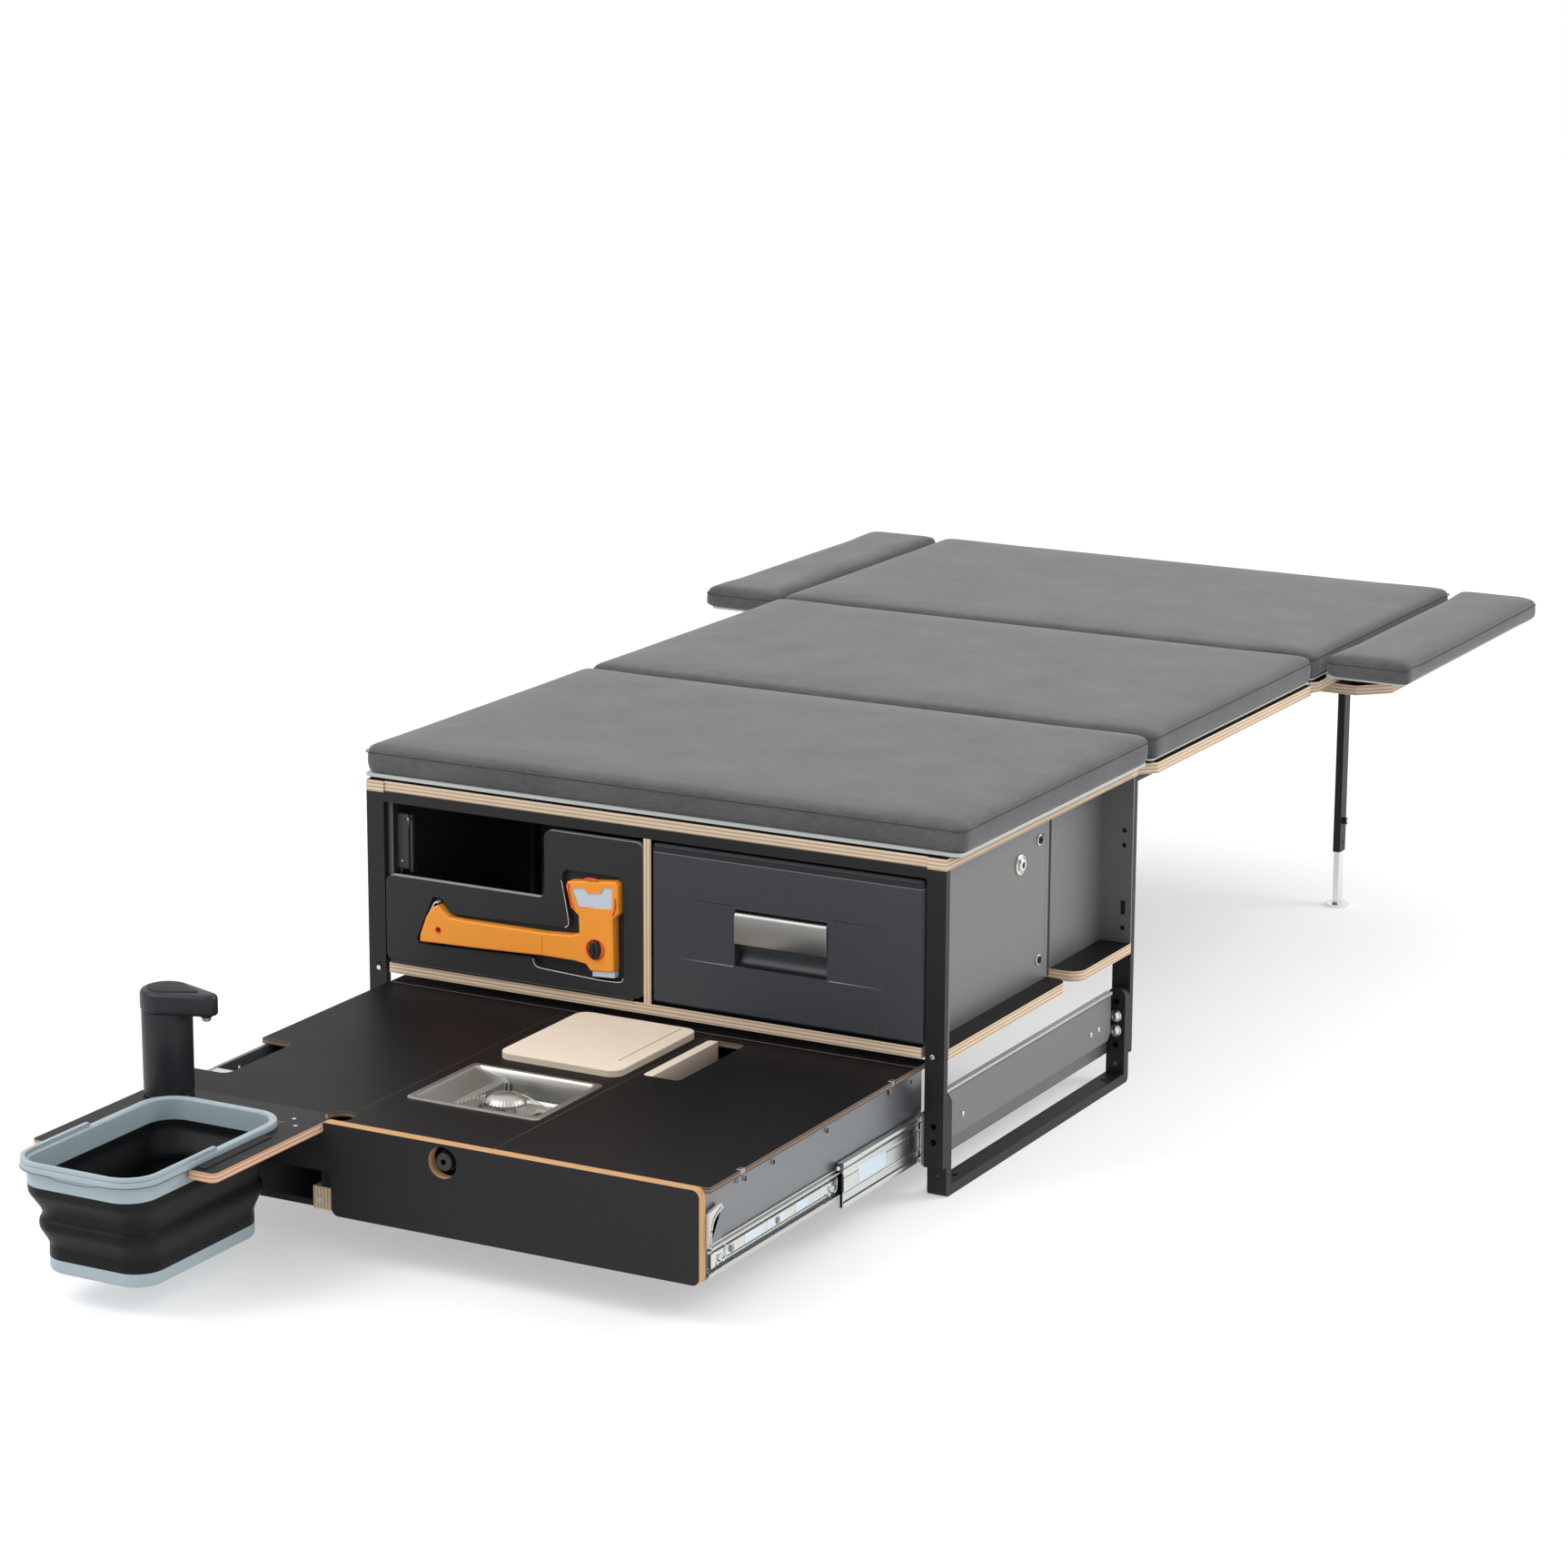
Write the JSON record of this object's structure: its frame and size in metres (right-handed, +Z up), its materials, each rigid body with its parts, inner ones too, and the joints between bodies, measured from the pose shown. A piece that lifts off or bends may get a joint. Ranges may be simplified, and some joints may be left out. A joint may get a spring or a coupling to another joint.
{
  "type": "camping box",
  "caption": "Camping box with a slide-out kitchen drawer, drawer fridge, flap door with hatchet, folding sink bucket with tap, and a cushioned bed on folding legs.",
  "frame": {"origin": "middle of the bounding box, on the ground", "axes": "+Z up, +Y from the kitchen drawer towards the head of the bed, +X to the right seen from the front"},
  "size_m": [1.314, 2.9364, 0.55],
  "materials": {
    "black_steel": "satin",
    "grey_steel": "satin",
    "zinc": "satin",
    "alu": "satin",
    "ply_black": "matte",
    "ply_light": "matte",
    "fabric_grey": "matte",
    "bucket_grey": "matte",
    "bucket_black": "matte",
    "black_plastic": "matte",
    "fridge_grey": "matte",
    "bin_white": "matte",
    "beech": "matte",
    "stainless": "satin",
    "orange_plastic": "matte",
    "silver_plate": "satin",
    "blade_steel": "satin"
  },
  "bodies": {
    "frame": {"corner_posts": "black_steel", "leg_frame_right": "black_steel", "leg_frame_left": "black_steel", "leg_bolts": "zinc", "slide_carriers": "grey_steel", "top_rails": "black_steel", "top_board": "ply_light", "shelf_boards": "ply_light", "side_panels": "grey_steel", "rear_panels": "grey_steel", "divider": "ply_light", "slide_outers": "zinc", "fridge_housing": "fridge_grey", "hinge_fixed": "black_steel", "stay_case": "black_plastic", "bed_rails": "black_steel", "leg_brackets": "zinc"},
    "slide_mid": {"slide_middles": "zinc"},
    "drawer": {"drawer_sides": "grey_steel", "drawer_floor": "ply_black", "drawer_front": "ply_black", "drawer_partitions": "ply_light", "slide_inners": "zinc", "lid_middle": "ply_black", "stove_tray": "stainless", "stove_burner": "stainless"},
    "lid_l": {"lid_left": "ply_black"},
    "lid_r": {"lid_right": "ply_black"},
    "board": {"cutting_board": "beech"},
    "gas_knob": {"stove_knob": "black_plastic"},
    "fork": {"fork_tray": "ply_black", "tap_body": "black_plastic"},
    "spout": {"tap_head": "black_plastic"},
    "button": {"tap_button": "bucket_grey"},
    "bucket": {"bucket_rim": "bucket_grey", "bucket_wall": "bucket_black"},
    "bucket_floor": {"bucket_base": "bucket_grey"},
    "bail": {"bucket_bail": "bucket_grey"},
    "fridge": {"fridge_front": "fridge_grey", "fridge_bin": "bin_white"},
    "fridge_grip": {"fridge_handle": "silver_plate"},
    "flap": {"flap_door": "ply_black", "hinge_moving": "black_steel"},
    "hatchet": {"hatchet_handle": "orange_plastic", "hatchet_head": "blade_steel"},
    "hatchet_screw": {"hatchet_knob": "black_plastic"},
    "stay": {"stay_arm": "zinc"},
    "cushion_front": {"mattress_front": "fabric_grey"},
    "board_mid": {"bed_board": "ply_light"},
    "cushion_mid": {"mattress_middle": "fabric_grey"},
    "board_head": {"head_board": "ply_light"},
    "cushion_head": {"mattress_head": "fabric_grey"},
    "side_pad_r": {"pad_right": "fabric_grey"},
    "side_pad_l": {"pad_left": "fabric_grey"},
    "wing_r": {"wing_right": "ply_light"},
    "wing_l": {"wing_left": "ply_light"},
    "leg_r": {"bed_leg_right": "black_steel"},
    "leg_l": {"bed_leg_left": "black_steel"},
    "foot_r": {"bed_foot_right": "alu"},
    "foot_l": {"bed_foot_left": "alu"}
  },
  "joints": [
    {"name": "drawer_slide", "type": "slide", "parent": "frame", "child": "drawer", "axis": [0, -1, 0], "range_m": [-0.565, 0]},
    {"name": "middle_slide", "type": "slide", "parent": "frame", "child": "slide_mid", "axis": [0, -1, 0], "range_m": [-0.226, 0]},
    {"name": "lid_left_lift", "type": "slide", "parent": "drawer", "child": "lid_l", "axis": [0, 0, 1], "range_m": [0, 0.06]},
    {"name": "lid_right_lift", "type": "slide", "parent": "drawer", "child": "lid_r", "axis": [0, 0, 1], "range_m": [0, 0.1]},
    {"name": "board_lift", "type": "slide", "parent": "drawer", "child": "board", "axis": [0, 0, 1], "range_m": [0, 0.15]},
    {"name": "knob_turn", "type": "hinge", "parent": "drawer", "child": "gas_knob", "pos_m": [0.044, -1.10185, 0.165], "axis": [0, 1, 0], "range_deg": [0, 270]},
    {"name": "fork_slide", "type": "slide", "parent": "drawer", "child": "fork", "axis": [0, 1, 0], "range_m": [-0.06, 0]},
    {"name": "spout_swivel", "type": "hinge", "parent": "fork", "child": "spout", "pos_m": [-0.403, -1.10505, 0.318], "axis": [0, 0, 1], "range_deg": [-90, 90]},
    {"name": "button_press", "type": "slide", "parent": "spout", "child": "button", "axis": [0, 0, -1], "range_m": [0, 0.002], "stiffness_N_per_m": 400},
    {"name": "bucket_lift", "type": "slide", "parent": "fork", "child": "bucket", "axis": [0, 0, 1], "range_m": [0, 0.1]},
    {"name": "bucket_fold", "type": "slide", "parent": "bucket", "child": "bucket_floor", "axis": [0, 0, 1], "range_m": [0, 0.085], "deforming": ["bucket_wall"]},
    {"name": "bail_swing", "type": "hinge", "parent": "bucket", "child": "bail", "pos_m": [-0.292, -1.29485, 0.20265], "axis": [-1, 0, 0], "range_deg": [0, 100]},
    {"name": "fridge_slide", "type": "slide", "parent": "frame", "child": "fridge", "axis": [0, 1, 0], "range_m": [-0.48, 0]},
    {"name": "fridge_latch", "type": "hinge", "parent": "fridge", "child": "fridge_grip", "pos_m": [0.2195, -0.48985, 0.37], "axis": [-1, 0, 0], "range_deg": [0, 25], "stiffness_Nm_per_rad": 0.4},
    {"name": "flap_hinge", "type": "hinge", "parent": "frame", "child": "flap", "pos_m": [-0.227, -0.49185, 0.2215], "axis": [1, 0, 0], "range_deg": [0, 90]},
    {"name": "hatchet_slide", "type": "slide", "parent": "flap", "child": "hatchet", "axis": [0, 1, 0], "range_m": [-0.055, 0]},
    {"name": "screw_turn", "type": "hinge", "parent": "hatchet", "child": "hatchet_screw", "pos_m": [-0.0815, -0.49985, 0.2905], "axis": [0, 1, 0], "range_deg": [0, 90]},
    {"name": "stay_swing", "type": "hinge", "parent": "frame", "child": "stay", "pos_m": [-0.417, -0.46485, 0.44], "axis": [-1, 0, 0], "range_deg": [0, 60]},
    {"name": "cushion_front_lift", "type": "slide", "parent": "frame", "child": "cushion_front", "axis": [0, 0, 1], "range_m": [0, 0.25]},
    {"name": "board_mid_lift", "type": "slide", "parent": "frame", "child": "board_mid", "axis": [0, 0, 1], "range_m": [0, 0.2]},
    {"name": "cushion_mid_lift", "type": "slide", "parent": "board_mid", "child": "cushion_mid", "axis": [0, 0, 1], "range_m": [0, 0.25]},
    {"name": "board_head_lift", "type": "slide", "parent": "frame", "child": "board_head", "axis": [0, 0, 1], "range_m": [0, 0.2]},
    {"name": "cushion_head_lift", "type": "slide", "parent": "board_head", "child": "cushion_head", "axis": [0, 0, 1], "range_m": [0, 0.25]},
    {"name": "pad_right_lift", "type": "slide", "parent": "frame", "child": "side_pad_r", "axis": [0, 0, 1], "range_m": [0, 0.25]},
    {"name": "pad_left_lift", "type": "slide", "parent": "frame", "child": "side_pad_l", "axis": [0, 0, 1], "range_m": [0, 0.25]},
    {"name": "wing_right_slide", "type": "slide", "parent": "frame", "child": "wing_r", "axis": [1, 0, 0], "range_m": [-0.065, 0]},
    {"name": "wing_left_slide", "type": "slide", "parent": "frame", "child": "wing_l", "axis": [-1, 0, 0], "range_m": [-0.065, 0]},
    {"name": "leg_right_fold", "type": "hinge", "parent": "frame", "child": "leg_r", "pos_m": [0.383, 1.26215, 0.441], "axis": [1, 0, 0], "range_deg": [-90, 0]},
    {"name": "leg_left_fold", "type": "hinge", "parent": "frame", "child": "leg_l", "pos_m": [-0.383, 1.26215, 0.441], "axis": [1, 0, 0], "range_deg": [-90, 0]},
    {"name": "foot_right_slide", "type": "slide", "parent": "leg_r", "child": "foot_r", "axis": [0, 0, 1], "range_m": [0, 0.06]},
    {"name": "foot_left_slide", "type": "slide", "parent": "leg_l", "child": "foot_l", "axis": [0, 0, 1], "range_m": [0, 0.06]}
  ],
  "couplings": [
    {"joint": "middle_slide", "follows": "drawer_slide", "ratio": 0.4}
  ]
}
